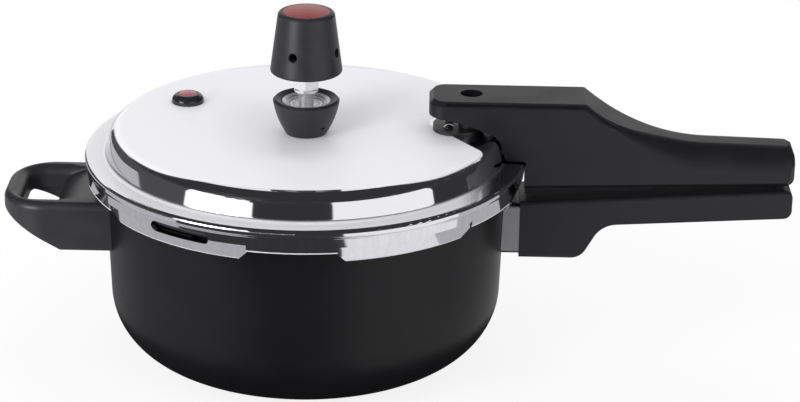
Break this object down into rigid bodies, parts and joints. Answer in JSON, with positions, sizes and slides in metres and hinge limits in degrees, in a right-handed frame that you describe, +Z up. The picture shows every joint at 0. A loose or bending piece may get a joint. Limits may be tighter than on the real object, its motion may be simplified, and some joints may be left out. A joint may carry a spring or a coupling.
{
  "type": "stovetop pressure cooker",
  "caption": "Squat round pot with a lid that twists to lock, a lifting weight valve on a vent stem, a safety valve, a long handle in two halves and a loop handle opposite.",
  "frame": {"origin": "on the pot's axis at the underside of its base, where it stands", "axes": "+X along the long handle, +Z up, -Y towards the picture's camera"},
  "size_m": [0.4122, 0.2308, 0.1846],
  "materials": {
    "pot_black": "hard-anodised aluminium, satin black",
    "lid_polish": "pressed aluminium, satin top and mirror-polished sides",
    "bakelite": "moulded thermoset, black, semi-matt",
    "collar_metal": "plain folded sheet steel",
    "steel": "zinc-plated steel",
    "black_steel": "black-coated steel",
    "rivet_metal": "plain aluminium rivets",
    "seal_rubber": "black food-grade rubber",
    "cup_black": "moulded thermoset, black, semi-matt",
    "valve_bright": "bright turned stainless steel",
    "weight_black": "moulded thermoset, charcoal black, satin",
    "weight_metal": "turned steel",
    "badge_red": "dull red, slightly glossy",
    "safety_black": "smooth black silicone",
    "safety_red": "dull red fusible plug"
  },
  "bodies": {
    "pot": {"pot_body": "pot_black", "pot_handle": "bakelite", "pot_handle_collar": "collar_metal", "pot_handle_bracket": "steel", "pot_handle_rivets": "rivet_metal", "pot_handle_screw": "steel", "helper_handle": "bakelite", "helper_bracket": "steel", "helper_rivets": "rivet_metal", "helper_screw": "steel"},
    "lid": {"lid_shell": "lid_polish", "lid_gasket": "seal_rubber", "lid_handle": "bakelite", "lid_bracket": "black_steel", "lid_bracket_rivets": "rivet_metal", "lid_handle_screw": "steel", "valve_cup": "cup_black", "valve_dish": "valve_bright", "vent_stem": "valve_bright", "vent_seal": "seal_rubber", "vent_nut": "steel", "safety_housing": "safety_black", "safety_nut": "steel"},
    "weight": {"weight_cap": "weight_black", "weight_core": "weight_metal", "weight_badge": "badge_red"},
    "safety_plug": {"safety_plug": "safety_red"}
  },
  "joints": [
    {"name": "lid_turn", "type": "hinge", "parent": "pot", "child": "lid", "pos_m": [0, 0, 0], "axis": [0, 0, 1], "range_deg": [0, 30]},
    {"name": "weight_lift", "type": "slide", "parent": "lid", "child": "weight", "axis": [0, 0, 1], "range_m": [0, 0.006]},
    {"name": "safety_pop", "type": "slide", "parent": "lid", "child": "safety_plug", "axis": [0, 0, 1], "range_m": [0, 0.004]}
  ]
}
